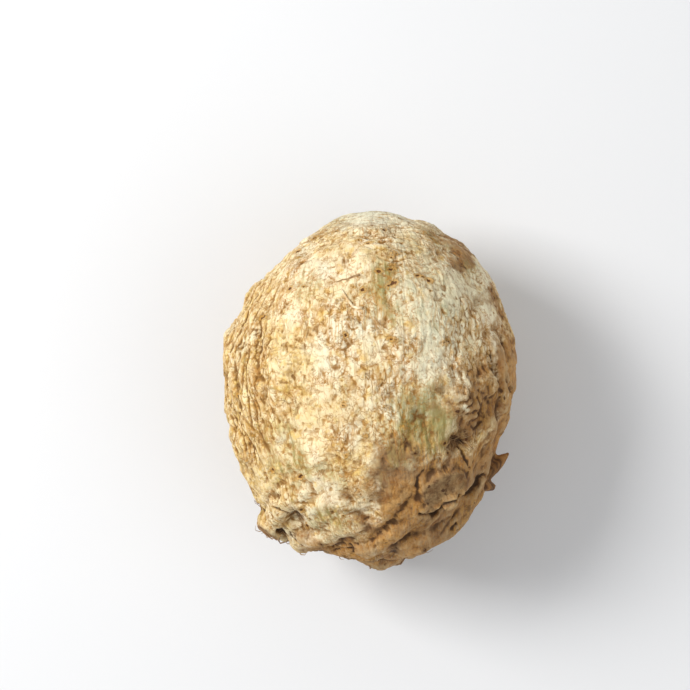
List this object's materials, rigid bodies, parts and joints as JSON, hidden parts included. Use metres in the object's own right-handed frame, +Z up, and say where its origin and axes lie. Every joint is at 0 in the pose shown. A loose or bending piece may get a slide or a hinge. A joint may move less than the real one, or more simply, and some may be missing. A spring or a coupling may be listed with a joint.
{
  "type": "celeriac root",
  "caption": "Whole celeriac root lying on its side: a swollen, wrinkled bulb with trimmed roots and lumps at one end and a dish of cut leaf stalks at the other.",
  "frame": {"origin": "on the small flat spot that the root rests on, under the middle of its outline seen from above", "axes": "+Z up; +Y along the length towards the crown with the cut leaf stalks, so the trimmed roots are at -Y; +X to the right with the crown away from the viewer"},
  "size_m": [0.1232, 0.1516, 0.1146],
  "materials": {
    "celeriac_skin": "matte"
  },
  "bodies": {
    "root": {"celeriac_root": "celeriac_skin"}
  },
  "joints": []
}
